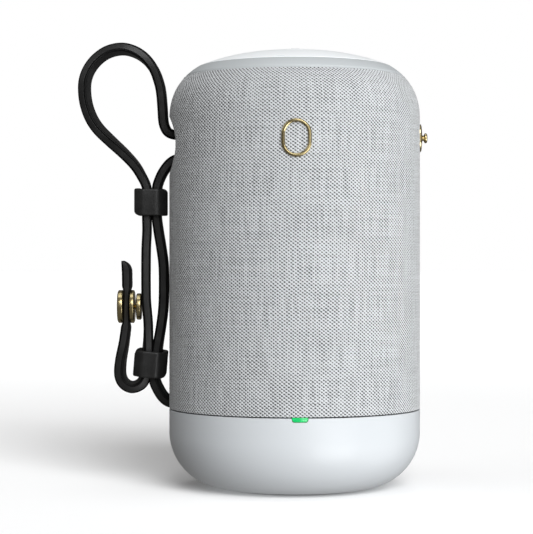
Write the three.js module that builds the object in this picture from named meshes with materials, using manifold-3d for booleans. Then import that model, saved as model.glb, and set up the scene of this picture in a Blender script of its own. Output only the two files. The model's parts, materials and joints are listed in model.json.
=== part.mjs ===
// A portable cylindrical smart speaker: a plastic base cup, a fabric sleeve over a grille tube,
// a domed top with buttons, a down-firing passive radiator under an up-firing driver, and a cord
// strap that hangs from a recess on the left.
// Millimetres. +Z is up, +X is the object's right, -Y is its front. The origin is the centre of
// the foot pad's underside.
import * as THREE from 'three';
import { mergeVertices } from 'three/addons/utils/BufferGeometryUtils.js';
import Module from 'manifold-3d';

const wasm = await Module();
wasm.setup();

// Driving dimensions
const BODY_RADIUS = 50;
const BODY_HEIGHT = 174;
const GAP = 0.3; // left between pieces that touch
const SEGMENTS = 32; // facets round the outer shells
const INNER_SEGMENTS = 20; // facets round the pieces inside
const SMALL_SEGMENTS = 12; // facets round small pins, posts and holes

// Base cup
const BASE_FLOOR_Z = 0.6;
const BASE_RIM_Z = 31.5;
const BASE_CORNER_RADIUS = 22;
const BASE_WALL = 2.6;
const BASE_INNER_FLOOR_Z = 5.5;
const PAD_RECESS_Z = 1.5;
const PAD_RADIUS = 26;

// Sleeve, grille and shoulder
const SLEEVE_BOTTOM_Z = 31.9;
const SLEEVE_THICKNESS = 1.1;
const SLEEVE_TOP_RADIUS = 44;
const GRILLE_OUTER = BODY_RADIUS - SLEEVE_THICKNESS - GAP;
const GRILLE_INNER = GRILLE_OUTER - 2;
const GRILLE_TOP_Z = 149.7;
const SHOULDER_Z = 147; // where the straight side ends
const SHOULDER_CORE = 22; // radius at which the shoulder curve would reach its crown
const SHOULDER_POWER = 2.2; // superellipse exponent of the shoulder curve
const SHOULDER_HEIGHT = 24.5;

// Top cap and buttons
const CAP_RADIUS = 34.3;
const CAP_EDGE_Z = 169;
const CAP_THICKNESS = 2.4;
const CAP_SEAT_Z = 165.6;
const BUTTON_RING = 18; // distance of each button from the axis
const BUTTON_RADIUS = 5;

// Acoustic stack
const CHASSIS_Z = 39;
const CHASSIS_RADIUS = GRILLE_INNER - GAP;
const RADIATOR_Z = 57;
const ENCLOSURE_BOTTOM_Z = 59.5;
const ENCLOSURE_TOP_Z = 119.7;
const ENCLOSURE_RADIUS = 44;
const DRIVER_Z = ENCLOSURE_TOP_Z + GAP;
const UPPER_PLATE_Z = 150;
const TOP_PCB_Z = 160;

// Light, badge and right-hand stud
const LED = { x: 1.3, halfTop: 3.05, halfBottom: 2.05, height: 1.5, yFront: -49.8, yBack: -45.9 };
const LED_TOP_Z = BASE_RIM_Z + 0.1;
const BADGE = { width: 11.2, height: 14.3, line: 1.3, thickness: 0.7, z: 136.2 };
const STUD_PLATE = { width: 8, height: 11.2, thickness: 0.6 };
const STUD_Z = 139.5;
const STUD_SHANK = 1.5;
const STUD_BORE = 1.8;

// Strap, its recess on the left and what slides on it
const RECESS = { x: -50.5, z: 136.2, radii: [14.4, 16, 10.2] };
const RECESS_WALL = 1.3;
const BAR = { x: -44, z: 136.1, radius: 2, halfLength: 15.1 };
const BAR_LOOP = 4.9; // radius of the strap's centre line round the bar
const STRAP_THICKNESS = 3.6;
const STRAP_DEPTH = 4.4;
const STRAP_STEPS = 80;
const KEEPER = {
  width: 13.3, depth: 9.6, height: 10.6, corner: 3.4, edge: 0.5, slotHalf: [4.25, 2.55],
};
const SNAP = { z: 72.2, radius: 6.6, studRadius: 5.3, postRadius: 0.9, postBore: 1.3 };
const SNAP_STRAP_X = -67.05; // centre of the free end between the snap's discs
const SNAP_PINCH = 0.72; // the strap's thickness there, as a share of its free thickness

// The strap's centre line as (x, z) at y = 0, from the clamp inside the body to the free tip.
const STRAP_ROUTE = [
  [-44.5, 33.9], [-49.8, 34.3], [-52.1, 35.8], [-54.4, 39.2], [-56.0, 43.6], [-54.8, 55.2],
  [-53.3, 64.6], [-52.4, 72.0], [-52.2, 82.8], [-52.4, 89.5], [-53.3, 96.1], [-54.4, 102.8],
  [-55.1, 108.5], [-54.9, 119.6], [-54.0, 122.8], [-52.2, 126.4], [-49.6, 129.6], [-47.4, 130.9],
  [BAR.x, BAR.z - BAR_LOOP],
  [BAR.x + BAR_LOOP * Math.SQRT1_2, BAR.z - BAR_LOOP * Math.SQRT1_2],
  [BAR.x + BAR_LOOP, BAR.z],
  [BAR.x + BAR_LOOP * Math.SQRT1_2, BAR.z + BAR_LOOP * Math.SQRT1_2],
  [BAR.x, BAR.z + BAR_LOOP],
  [-47.6, 141.0], [-50.4, 142.5], [-52.0, 145.4], [-52.7, 152.0], [-53.2, 156.8], [-53.9, 160.8],
  [-56.2, 167.0], [-59.8, 171.5], [-64.2, 174.2], [-69.0, 175.2], [-74.6, 174.0], [-79.0, 171.0],
  [-82.0, 167.2], [-83.6, 163.2], [-84.0, 159.2], [-83.3, 153.2], [-81.2, 147.4], [-78.4, 143.2],
  [-73.8, 138.6], [-67.8, 133.0], [-63.8, 128.6], [-61.4, 124.8], [-59.1, 119.6], [-59.1, 108.5],
  [-59.0, 102.8], [-59.3, 96.1], [-59.4, 89.6], [-59.3, 74.8], [-58.9, 70.0], [-58.5, 64.6],
  [-58.7, 55.2], [-59.9, 43.6], [-61.8, 41.0], [-65.2, 40.0], [-68.2, 41.6], [-69.6, 44.6],
  [-69.5, 50.1], [-68.2, 57.4], [-67.2, 65.4], [-67.0, 72.4], [-66.9, 82.8], [-67.2, 86.8],
  [-67.9, 90.0],
];

// Materials
function surface(color, roughness, metalness = 0) {
  return new THREE.MeshStandardMaterial({ color, roughness, metalness });
}

const WHITE_PLASTIC = surface(0xe4eaec, 0.45);
const CAP_PLASTIC = surface(0xf0f4f5, 0.4);
const GREY_FABRIC = surface(0xa3a6a8, 0.95);
const DARK_PLASTIC = surface(0x2c2e30, 0.6);
const BLACK_LEATHER = surface(0x151517, 0.6);
const BLACK_RUBBER = surface(0x1b1b1d, 0.85);
const BRASS = surface(0xc9a24b, 0.25, 1);
const STEEL = surface(0x9a9da0, 0.35, 1);
const MAGNET_FERRITE = surface(0x34363a, 0.7);
const CIRCUIT_BOARD = surface(0x1f5c3a, 0.5);
const CELL_WRAP = surface(0x2f5fa8, 0.4);
const PAPER = surface(0x3a3a3a, 0.9);
const COPPER = surface(0xb06a3a, 0.4, 1);
const GREEN_LENS = surface(0x1ed76a, 0.2);
const RIBBON = surface(0xd8cfa8, 0.6);

const speaker = new THREE.Group();

function add(name, geometry, material, parent = speaker) {
  const mesh = new THREE.Mesh(geometry, material);
  mesh.name = name;
  parent.add(mesh);
  return mesh;
}

// Solids for cutting and joining
function solid(geometry) {
  const bare = geometry.clone();
  bare.deleteAttribute('normal');
  bare.deleteAttribute('uv');
  const merged = mergeVertices(bare);
  const index = merged.index.array;
  const triVerts = [];
  for (let i = 0; i < index.length; i += 3) {
    const [a, b, c] = [index[i], index[i + 1], index[i + 2]];
    if (a !== b && b !== c && c !== a) triVerts.push(a, b, c);
  }
  const vertProperties = merged.attributes.position.array;
  return new wasm.Manifold(new wasm.Mesh({
    numProp: 3, vertProperties, triVerts: new Uint32Array(triVerts),
  }));
}

function geometryOf(body) {
  const mesh = body.getMesh();
  const geometry = new THREE.BufferGeometry();
  geometry.setAttribute('position', new THREE.BufferAttribute(mesh.vertProperties, 3));
  geometry.setIndex(new THREE.BufferAttribute(mesh.triVerts, 1));
  return geometry;
}

function cut(geometry, ...tools) {
  return geometryOf(tools.reduce((body, tool) => body.subtract(solid(tool)), solid(geometry)));
}

function join(...geometries) {
  return geometryOf(geometries.map(solid).reduce((body, next) => body.add(next)));
}

// Plain shapes
function turned(profile, segments = SEGMENTS) {
  const points = profile.map(([radius, z]) => new THREE.Vector2(radius, z));
  return new THREE.LatheGeometry(points, segments).rotateX(Math.PI / 2);
}

function turnedRing(profile, segments = SEGMENTS) {
  return turned([...profile, profile[0]], segments);
}

function rod(radius, z0, z1, x = 0, y = 0, segments = SMALL_SEGMENTS) {
  const height = z1 - z0;
  return new THREE.CylinderGeometry(radius, radius, height, segments)
    .rotateX(Math.PI / 2).translate(x, y, z0 + height / 2);
}

function rodAlongX(radius, x0, x1, z, segments = SMALL_SEGMENTS) {
  const length = x1 - x0;
  return new THREE.CylinderGeometry(radius, radius, length, segments)
    .rotateZ(Math.PI / 2).translate(x0 + length / 2, 0, z);
}

function rodAlongY(radius, y0, y1, x, z, segments = SMALL_SEGMENTS) {
  const length = y1 - y0;
  return new THREE.CylinderGeometry(radius, radius, length, segments)
    .translate(x, y0 + length / 2, z);
}

function block([x0, x1], [y0, y1], [z0, z1]) {
  return new THREE.BoxGeometry(x1 - x0, y1 - y0, z1 - z0)
    .translate((x0 + x1) / 2, (y0 + y1) / 2, (z0 + z1) / 2);
}

function arc(centreR, centreZ, radius, fromDeg, toDeg, steps) {
  return Array.from({ length: steps + 1 }, (_, i) => {
    const angle = THREE.MathUtils.degToRad(fromDeg + ((toDeg - fromDeg) * i) / steps);
    return [centreR + radius * Math.cos(angle), centreZ + radius * Math.sin(angle)];
  });
}

function aroundAxis(count, radius, startDeg = 0) {
  return Array.from({ length: count }, (_, i) => {
    const angle = THREE.MathUtils.degToRad(startDeg + (360 * i) / count);
    return [radius * Math.cos(angle), radius * Math.sin(angle), angle];
  });
}

// A flat outline with round corners, centred on its own origin.
function roundedOutline(width, height, corner) {
  const [x, y] = [width / 2 - corner, height / 2 - corner];
  const shape = new THREE.Shape();
  shape.absarc(x, -y, corner, -Math.PI / 2, 0);
  shape.absarc(x, y, corner, 0, Math.PI / 2);
  shape.absarc(-x, y, corner, Math.PI / 2, Math.PI);
  shape.absarc(-x, -y, corner, Math.PI, 1.5 * Math.PI);
  return shape;
}

function extruded(shape, depth, curveSegments = 5) {
  return new THREE.ExtrudeGeometry(shape, { depth, bevelEnabled: false, curveSegments });
}

// Points of the shoulder curve, moved inwards by a distance, between two radii.
function shoulder(inset, fromRadius, toRadius, steps) {
  const reach = BODY_RADIUS - SHOULDER_CORE - inset;
  const rise = SHOULDER_HEIGHT - inset;
  const angleAt = (radius) => {
    const share = Math.min(1, (radius - SHOULDER_CORE) / reach);
    return Math.acos(share ** (SHOULDER_POWER / 2));
  };
  const [from, to] = [angleAt(fromRadius), angleAt(toRadius)];
  return Array.from({ length: steps + 1 }, (_, i) => {
    const angle = from + ((to - from) * i) / steps;
    return [
      SHOULDER_CORE + reach * Math.cos(angle) ** (2 / SHOULDER_POWER),
      SHOULDER_Z + rise * Math.sin(angle) ** (2 / SHOULDER_POWER),
    ];
  });
}

function capSurfaceZ(radius) {
  const crown = BODY_HEIGHT - CAP_EDGE_Z;
  return CAP_EDGE_Z + crown * (1 - (radius / CAP_RADIUS) ** SHOULDER_POWER);
}

// Base cup, foot and screws
const BASE_SCREW_PLACES = aroundAxis(4, 20, 45);
const SCREW = { head: 2.6, headHeight: 1.6, shank: 1.4, length: 9.4 };
const USB_Z = 19.5;
const USB_MOUTH = { width: 13, height: 7.2, corner: 3 };

function ledOutline(clearance) {
  const top = LED.halfTop + clearance;
  const bottom = LED.halfBottom + clearance;
  const height = LED.height + clearance;
  const shape = new THREE.Shape();
  shape.moveTo(-top, 0);
  shape.quadraticCurveTo(-top, -height, -bottom, -height);
  shape.lineTo(bottom, -height);
  shape.quadraticCurveTo(top, -height, top, 0);
  shape.closePath();
  return shape;
}

// The lens outline pushed from front to back.
function ledPrism(clearance, yFront, yBack) {
  return extruded(ledOutline(clearance), yBack - yFront, 3)
    .rotateX(Math.PI / 2).translate(LED.x, yBack, LED_TOP_Z);
}

function baseShell() {
  const centreR = BODY_RADIUS - BASE_CORNER_RADIUS;
  const centreZ = BASE_FLOOR_Z + BASE_CORNER_RADIUS;
  const innerRadius = BASE_CORNER_RADIUS - BASE_WALL;
  const floorDrop = (centreZ - BASE_INNER_FLOOR_Z) / innerRadius;
  const floorDeg = -THREE.MathUtils.radToDeg(Math.asin(floorDrop));
  const cup = turned([
    [0, PAD_RECESS_Z], [PAD_RADIUS + GAP, PAD_RECESS_Z], [PAD_RADIUS + GAP, BASE_FLOOR_Z],
    ...arc(centreR, centreZ, BASE_CORNER_RADIUS, -90, 0, 6), [BODY_RADIUS, BASE_RIM_Z],
    [BODY_RADIUS - BASE_WALL, BASE_RIM_Z],
    ...arc(centreR, centreZ, innerRadius, 0, floorDeg, 3), [0, BASE_INNER_FLOOR_Z],
  ]);
  const heads = BASE_SCREW_PLACES.map(([x, y]) => rod(SCREW.head + 0.4, 0, 3.7, x, y, 8));
  const shanks = BASE_SCREW_PLACES.map(([x, y]) => rod(SCREW.shank + GAP, 0, 8, x, y, 8));
  const usbMouth = extruded(roundedOutline(USB_MOUTH.width, USB_MOUTH.height, USB_MOUTH.corner), 12)
    .rotateX(Math.PI / 2).translate(0, BODY_RADIUS + 6, USB_Z);
  const ledNotch = ledPrism(GAP, -BODY_RADIUS - 2, -BODY_RADIUS + 6);
  return cut(cup, ...heads, ...shanks, usbMouth, ledNotch);
}

function baseScrew() {
  return turned([
    [0, 0], [SCREW.head, 0], [SCREW.head, SCREW.headHeight], [SCREW.shank, SCREW.headHeight],
    [SCREW.shank, SCREW.length - 0.6], [0, SCREW.length],
  ], 8);
}

function footPad() {
  const top = PAD_RECESS_Z - GAP;
  return turned([
    [0, 0], [PAD_RADIUS - 0.6, 0], [PAD_RADIUS, 0.5], [PAD_RADIUS, top], [0, top],
  ], INNER_SEGMENTS);
}

function buildBase() {
  add('base_shell', baseShell(), WHITE_PLASTIC);
  add('foot_pad', footPad(), BLACK_RUBBER);
  BASE_SCREW_PLACES.forEach(([x, y], i) => {
    add(`base_screw_${i + 1}`, baseScrew(), STEEL).position.set(x, y, PAD_RECESS_Z + 0.2);
  });
}

// Battery, boards and the light
const TRAY_Z = 12;
const PCB_Z = 35;
const PCB_THICKNESS = 1.6;
const TRAY_POSTS = [[34, 16], [-34, 16], [34, -16], [-34, -16]];
const CELL = { radius: 9.2, halfLength: 32.5 };
const RIBBON_NOTCH = block([-6.5, 6.5], [42.8, 60], [0, 200]);

function batteryTray() {
  const plate = rod(42, TRAY_Z, TRAY_Z + 2, 0, 0, INNER_SEGMENTS);
  const feet = BASE_SCREW_PLACES.map(([x, y]) => rod(4, BASE_INNER_FLOOR_Z + GAP, TRAY_Z + 1, x, y));
  const ledges = TRAY_POSTS.map(([x, y]) => rod(4, TRAY_Z + 1, PCB_Z - GAP, x, y));
  const posts = TRAY_POSTS.map(([x, y]) => rod(2.8, PCB_Z - 1, CHASSIS_Z - GAP, x, y));
  const pilots = BASE_SCREW_PLACES.map(([x, y]) => rod(SCREW.shank + GAP, 0, TRAY_Z + 1, x, y, 8));
  return cut(join(plate, ...feet, ...ledges, ...posts), ...pilots);
}

function mainBoard() {
  const disc = rod(41, PCB_Z, PCB_Z + PCB_THICKNESS, 0, 0, INNER_SEGMENTS);
  const chips = [
    block([-12, 2], [-10, 4], [PCB_Z + 1, PCB_Z + 3]),
    block([8, 18], [6, 16], [PCB_Z + 1, PCB_Z + 2.8]),
    block([6, 20], [-20, -12], [PCB_Z + 1, PCB_Z + 3.2]),
  ];
  const holes = TRAY_POSTS.map(([x, y]) => rod(3.1, 0, 60, x, y));
  const clampNotch = block([-60, -37.6], [-6, 6], [0, 60]);
  return cut(join(disc, ...chips), ...holes, clampNotch);
}

function usbSocket() {
  const shell = roundedOutline(9, 3.2, 1.5);
  shell.holes.push(roundedOutline(8.2, 2.4, 1.1));
  return extruded(shell, 6.8).rotateX(Math.PI / 2);
}

function buildElectronics() {
  add('battery_tray', batteryTray(), DARK_PLASTIC);
  const trayTop = TRAY_Z + 2 + GAP;
  [-9.7, 9.7].forEach((x, i) => {
    const body = rodAlongY(CELL.radius, -CELL.halfLength, CELL.halfLength, 0, 0, INNER_SEGMENTS);
    add(`battery_cell_${i + 1}`, body, CELL_WRAP).position.set(x, 0, trayTop + CELL.radius);
  });
  add('main_board', mainBoard(), CIRCUIT_BOARD);
  add('usb_board', block([-9, 9], [36.5, 38.1], [trayTop, PCB_Z - GAP]), CIRCUIT_BOARD);
  add('usb_socket', usbSocket(), STEEL).position.set(0, 45.2, USB_Z);
  const ledBoard = block([LED.x - 5, LED.x + 5], [-45.6, -44.2], [26, PCB_Z - GAP]);
  add('led_board', ledBoard, CIRCUIT_BOARD);
  add('led_lens', ledPrism(0, LED.yFront, LED.yBack), GREEN_LENS);
}

// Chassis, lower diffuser and passive radiator
function halfRoll(centreR, radius, thickness, side) {
  const outer = arc(centreR, 0, radius, 0, 180, 4);
  const inner = arc(centreR, 0, radius - thickness, 180, 0, 4);
  const profile = [...outer, ...inner].map(([r, z]) => [r, z * side]);
  return turnedRing(side > 0 ? profile : profile.reverse(), INNER_SEGMENTS);
}

function buildLowerStack() {
  const plate = rod(CHASSIS_RADIUS, CHASSIS_Z, CHASSIS_Z + 2, 0, 0, SEGMENTS);
  const top = CHASSIS_Z + 2 + GAP;
  add('chassis_plate', cut(plate, RIBBON_NOTCH), DARK_PLASTIC);
  add('lower_diffuser', turned([
    [0, 0], [30, 0], [30, 0.8], [20, 2.4], [11, 5.4], [4, 8.6], [0, 9.2],
  ], INNER_SEGMENTS), DARK_PLASTIC).position.z = top;
  const frameZ = RADIATOR_Z - 1;
  aroundAxis(3, 40, 30).forEach(([x, y], i) => {
    add(`lower_strut_${i + 1}`, rod(2.5, 0, frameZ - GAP - top), STEEL).position.set(x, y, top);
  });
  const frame = turnedRing([[36, 0], [44, 0], [44, 3.2], [36, 3.2]], INNER_SEGMENTS);
  add('radiator_frame', frame, DARK_PLASTIC).position.z = frameZ;
  add('passive_radiator', turned([
    [0, -1], [18, -1], [26, -0.4], [27, 0], [27, 1.6], [0, 1.6],
  ], INNER_SEGMENTS), STEEL).position.z = RADIATOR_Z;
  add('radiator_surround', halfRoll(31.5, 4.1, 0.8, -1), BLACK_RUBBER).position.z = RADIATOR_Z;
}

// Sealed enclosure and driver
function buildDriver() {
  const height = ENCLOSURE_TOP_Z - ENCLOSURE_BOTTOM_Z;
  const wall = ENCLOSURE_RADIUS - 2.5;
  add('enclosure', turnedRing([
    [37.5, 0], [ENCLOSURE_RADIUS, 0], [ENCLOSURE_RADIUS, height], [36.5, height],
    [36.5, height - 2.5], [wall, height - 2.5], [wall, 2.5], [37.5, 2.5],
  ], INNER_SEGMENTS), DARK_PLASTIC).position.z = ENCLOSURE_BOTTOM_Z;

  const driver = new THREE.Group();
  driver.position.z = DRIVER_Z;
  speaker.add(driver);
  const basket = turnedRing([
    [13.2, -17], [19, -17], [35.6, -3], [35.6, 0], [42, 0], [42, 2.4], [34.4, 2.4],
    [34.4, -2.4], [18.2, -15.4], [13.2, -15.4],
  ], INNER_SEGMENTS);
  const windows = aroundAxis(4, 28, 45).map(([x, y, angle]) => (
    block([-7, 7], [-6, 6], [-14, -5]).rotateZ(angle).translate(x, y, 0)));
  add('driver_frame', cut(basket, ...windows), STEEL, driver);
  add('driver_magnet', turnedRing([
    [11, -28], [24, -28], [24, -17.3], [11, -17.3],
  ], INNER_SEGMENTS), MAGNET_FERRITE, driver);
  add('driver_yoke', turned([
    [0, -31], [22, -31], [22, -28.3], [8.8, -28.3], [8.8, -15.6], [0, -15.6],
  ], INNER_SEGMENTS), STEEL, driver);
  add('voice_coil', turnedRing([
    [9.4, -25], [10.2, -25], [10.2, -9.5], [9.4, -9.5],
  ], INNER_SEGMENTS), COPPER, driver);
  add('driver_cone', turnedRing([
    [10.7, -11.2], [29, -1.4], [29, -0.4], [10.7, -10.2],
  ], INNER_SEGMENTS), PAPER, driver);
  add('dust_cap', turned([
    [0, -5.4], [6, -6.4], [11, -8.8], [12, -8.8], [6.5, -5.4], [0, -4.4],
  ], INNER_SEGMENTS), PAPER, driver);
  add('driver_surround', halfRoll(31.7, 2.4, 0.6, 1), BLACK_RUBBER, driver).position.z = -0.6;
  add('driver_spider', turnedRing([
    [10.6, -13.5], [19.8, -13.5], [19.8, -12.9], [10.6, -12.9],
  ], INNER_SEGMENTS), PAPER, driver);
}

// Upper struts, plate, diffuser and control board
const BUTTON_NAMES = [
  'volume_up_button', 'voice_button', 'volume_down_button', 'power_button',
];
const BUTTON_PLACES = aroundAxis(BUTTON_NAMES.length, BUTTON_RING);

function upperPlate() {
  const plate = rod(45.1, 0, 2, 0, 0, SEGMENTS);
  const posts = aroundAxis(3, 27, 90).map(([x, y]) => (
    rod(2.2, 1, TOP_PCB_Z - GAP - UPPER_PLATE_Z, x, y)));
  return cut(join(plate, ...posts), RIBBON_NOTCH);
}

function controlBoard() {
  const disc = rod(31, 0, 1.4, 0, 0, INNER_SEGMENTS);
  const switches = BUTTON_PLACES.map(([x, y]) => block([x - 3, x + 3], [y - 3, y + 3], [1, 4]));
  const plungers = BUTTON_PLACES.map(([x, y]) => rod(1.5, 3, 4.4, x, y, 8));
  return join(disc, ...switches, ...plungers);
}

function buildUpperStack() {
  const strutFoot = DRIVER_Z + 2.4 + GAP;
  const strutLength = UPPER_PLATE_Z - GAP - strutFoot;
  aroundAxis(3, 38.5, 30).forEach(([x, y], i) => {
    add(`upper_strut_${i + 1}`, rod(2.5, 0, strutLength), STEEL).position.set(x, y, strutFoot);
  });
  add('upper_diffuser', turned([
    [0, -21.6], [4, -20], [10, -13], [20, -6], [31, -1.6], [31, 0], [0, 0],
  ], INNER_SEGMENTS), DARK_PLASTIC).position.z = UPPER_PLATE_Z - GAP;
  add('upper_plate', upperPlate(), DARK_PLASTIC).position.z = UPPER_PLATE_Z;
  add('control_board', controlBoard(), CIRCUIT_BOARD).position.z = TOP_PCB_Z;
}

// A flat cable from the main board up the back to the control board.
function ribbonCable() {
  const route = [
    [41.5, 35.8], [43.6, 35.9], [45.2, 38.5], [45.2, 60], [45.2, 90], [45.2, 120], [45.2, 146],
    [44.4, 151], [41.5, 155.5], [36.5, 159.2], [31.5, 160.7],
  ];
  const path = new THREE.CatmullRomCurve3(route.map(([y, z]) => new THREE.Vector3(0, y, z)));
  const strip = new THREE.Shape([
    new THREE.Vector2(-5, -0.25), new THREE.Vector2(5, -0.25),
    new THREE.Vector2(5, 0.25), new THREE.Vector2(-5, 0.25),
  ]);
  return new THREE.ExtrudeGeometry(strip, { steps: 30, extrudePath: path, bevelEnabled: false });
}

// Top ring, cap and buttons
function topRing() {
  const underFabric = SLEEVE_THICKNESS + 2 * GAP;
  const wall = underFabric + 2.6;
  return turnedRing([
    [BODY_RADIUS - underFabric, UPPER_PLATE_Z],
    ...shoulder(underFabric, 47.6, SLEEVE_TOP_RADIUS - 1, 3),
    ...shoulder(0, SLEEVE_TOP_RADIUS - 0.6, 36, 4),
    [35.2, 168.5], [34.9, 167.8], [34.9, CAP_SEAT_Z], [32, CAP_SEAT_Z], [32, 163.2],
    ...shoulder(wall, 33.5, 45.2, 3),
    [BODY_RADIUS - wall, UPPER_PLATE_Z],
  ]);
}

function topCap() {
  const radii = [29, 23, 14];
  const cap = turned([
    [0, capSurfaceZ(0) - CAP_THICKNESS],
    ...radii.slice().reverse().map((r) => [r, capSurfaceZ(r) - CAP_THICKNESS]),
    [31.8, CAP_SEAT_Z + GAP], [CAP_RADIUS, CAP_SEAT_Z + GAP], [CAP_RADIUS, CAP_EDGE_Z - 0.3],
    [33.6, capSurfaceZ(33.6)], ...radii.map((r) => [r, capSurfaceZ(r)]), [0, capSurfaceZ(0)],
  ]);
  const holes = BUTTON_PLACES.map(([x, y]) => rod(BUTTON_RADIUS + 0.4, 160, 180, x, y, 16));
  return cut(cap, ...holes);
}

// A button with a retaining flange and a stem; its face follows the cap's dome, slightly proud.
function button(x, y) {
  const crown = BODY_HEIGHT;
  const geometry = turned([
    [0, 165.1], [1.6, 165.1], [1.6, 167.9], [6, 167.9], [6, 168.8], [BUTTON_RADIUS, 168.8],
    [BUTTON_RADIUS, crown], [0, crown],
  ], 16);
  const position = geometry.attributes.position;
  for (let i = 0; i < position.count; i += 1) {
    if (position.getZ(i) > crown - 1) {
      const fromAxis = Math.hypot(position.getX(i) + x, position.getY(i) + y);
      position.setZ(i, capSurfaceZ(fromAxis) + 0.25);
    }
  }
  return geometry;
}

function buildTop() {
  add('top_ring', topRing(), WHITE_PLASTIC);
  add('top_cap', topCap(), CAP_PLASTIC);
  BUTTON_PLACES.forEach(([x, y], i) => {
    add(BUTTON_NAMES[i], button(x, y), CAP_PLASTIC).position.set(x, y, 0);
  });
}

// Strap recess and what it cuts
function recessBowl(growth) {
  const [rx, ry, rz] = RECESS.radii.map((radius) => radius + growth);
  return new THREE.SphereGeometry(1, 24, 12).scale(rx, ry, rz).translate(RECESS.x, 0, RECESS.z);
}

function recessCup() {
  const skin = rod(BODY_RADIUS - 0.1, RECESS.z - 20, RECESS.z + 20, 0, 0, SEGMENTS);
  const shell = solid(recessBowl(RECESS_WALL)).intersect(solid(skin));
  const reach = BAR.halfLength + GAP;
  const bore = rodAlongY(BAR.radius + GAP, -reach, reach, BAR.x, BAR.z);
  return geometryOf(shell.subtract(solid(recessBowl(0))).subtract(solid(bore)));
}

const STRAP_DOORWAY = block([-60, -40], [-2.7, 2.7], [20, 36.8]);
const STUD_HOLE = rodAlongX(STUD_BORE, 30, 60, STUD_Z);

function grilleTube() {
  const tube = turnedRing([
    [GRILLE_INNER, SLEEVE_BOTTOM_Z], [GRILLE_OUTER, SLEEVE_BOTTOM_Z],
    [GRILLE_OUTER, GRILLE_TOP_Z], [GRILLE_INNER, GRILLE_TOP_Z],
  ]);
  const slot = (zRange) => ([x, y, angle]) => (
    block([-6, 6], [-4, 4], zRange).rotateZ(angle).translate(x, y, 0));
  const places = aroundAxis(16, GRILLE_OUTER, 11.25);
  const clearOfRecess = places.filter(([x]) => x > -45);
  return cut(
    tube, ...places.map(slot([42.5, 54.5])), ...clearOfRecess.map(slot([128, 142])),
    recessBowl(RECESS_WALL + GAP), STRAP_DOORWAY, STUD_HOLE,
  );
}

function fabricSleeve() {
  const inner = BODY_RADIUS - SLEEVE_THICKNESS;
  const sleeve = turnedRing([
    [BODY_RADIUS, SLEEVE_BOTTOM_Z], [BODY_RADIUS, SHOULDER_Z],
    ...shoulder(0, 49.6, SLEEVE_TOP_RADIUS, 4),
    ...shoulder(SLEEVE_THICKNESS, SLEEVE_TOP_RADIUS, 48.6, 4),
    [inner, SHOULDER_Z], [inner, SLEEVE_BOTTOM_Z],
  ]);
  return cut(sleeve, recessBowl(RECESS_WALL + GAP), STRAP_DOORWAY, STUD_HOLE);
}

function buildSkin() {
  add('grille_tube', grilleTube(), DARK_PLASTIC);
  add('fabric_sleeve', fabricSleeve(), GREY_FABRIC);
  add('recess_cup', recessCup(), DARK_PLASTIC);
  const bar = rodAlongY(BAR.radius, -BAR.halfLength, BAR.halfLength, 0, 0);
  add('strap_bar', bar, STEEL).position.set(BAR.x, 0, BAR.z);
  add('ribbon_cable', ribbonCable(), RIBBON);
}

// Badge on the front and stud on the right
// An oval outline whose ends are half circles.
function oval(width, height) {
  return roundedOutline(width, height, width / 2 - 0.01);
}

function badgeRing() {
  const ring = oval(BADGE.width, BADGE.height);
  ring.holes.push(oval(BADGE.width - 2 * BADGE.line, BADGE.height - 2 * BADGE.line));
  return extruded(ring, BADGE.thickness, 4).rotateX(Math.PI / 2);
}

function studPlate() {
  const plate = oval(STUD_PLATE.width, STUD_PLATE.height);
  const hole = new THREE.Path();
  hole.absarc(0, 0, STUD_BORE, 0, 2 * Math.PI);
  plate.holes.push(hole);
  return extruded(plate, STUD_PLATE.thickness, 4).rotateX(Math.PI / 2).rotateZ(Math.PI / 2);
}

// A threaded shank, a thin neck and a domed head.
function ballStud() {
  return turned([
    [0, -6.2], [STUD_SHANK, -6.2], [STUD_SHANK, 0.7], [1.1, 0.9], [1.1, 1.2], [1.8, 1.3],
    [2, 1.6], [2, 2.1], [1.7, 2.6], [1, 2.85], [0, 2.9],
  ], SMALL_SEGMENTS).rotateY(Math.PI / 2);
}

function studNut() {
  return cut(rodAlongX(3.5, -2.8, 0, 0, 6), rodAlongX(STUD_BORE, -5, 5, 0));
}

function buildTrim() {
  add('front_badge', badgeRing(), BRASS).position.set(0, -BODY_RADIUS - GAP, BADGE.z);
  add('stud_plate', studPlate(), BRASS).position.set(BODY_RADIUS + GAP, 0, STUD_Z);
  add('ball_stud', ballStud(), BRASS).position.set(BODY_RADIUS + 0.2, 0, STUD_Z);
  add('stud_nut', studNut(), STEEL).position.set(GRILLE_INNER - GAP, 0, STUD_Z);
}

// Strap, clamp, keepers and snap fastener
function strapTube() {
  const [t, d, bevel] = [STRAP_THICKNESS / 2, STRAP_DEPTH / 2, 1];
  const section = new THREE.Shape([
    new THREE.Vector2(-d, -t + bevel), new THREE.Vector2(-d + bevel, -t),
    new THREE.Vector2(d - bevel, -t), new THREE.Vector2(d, -t + bevel),
    new THREE.Vector2(d, t - bevel), new THREE.Vector2(d - bevel, t),
    new THREE.Vector2(-d + bevel, t), new THREE.Vector2(-d, t - bevel),
  ]);
  const route = STRAP_ROUTE.map(([x, z]) => new THREE.Vector3(x, 0, z));
  const path = new THREE.CatmullRomCurve3(route, false, 'centripetal');
  return new THREE.ExtrudeGeometry(section, {
    steps: STRAP_STEPS, extrudePath: path, bevelEnabled: false,
  });
}

// Presses the free end thinner where the snap's two discs grip it.
function pinchAtSnap(geometry) {
  const position = geometry.attributes.position;
  for (let i = 0; i < position.count; i += 1) {
    const [x, z] = [position.getX(i), position.getZ(i)];
    const inSnap = Math.abs(z - SNAP.z) < SNAP.radius + 3 && x < -64;
    if (inSnap) position.setX(i, SNAP_STRAP_X + (x - SNAP_STRAP_X) * SNAP_PINCH);
  }
  return geometry;
}

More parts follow.
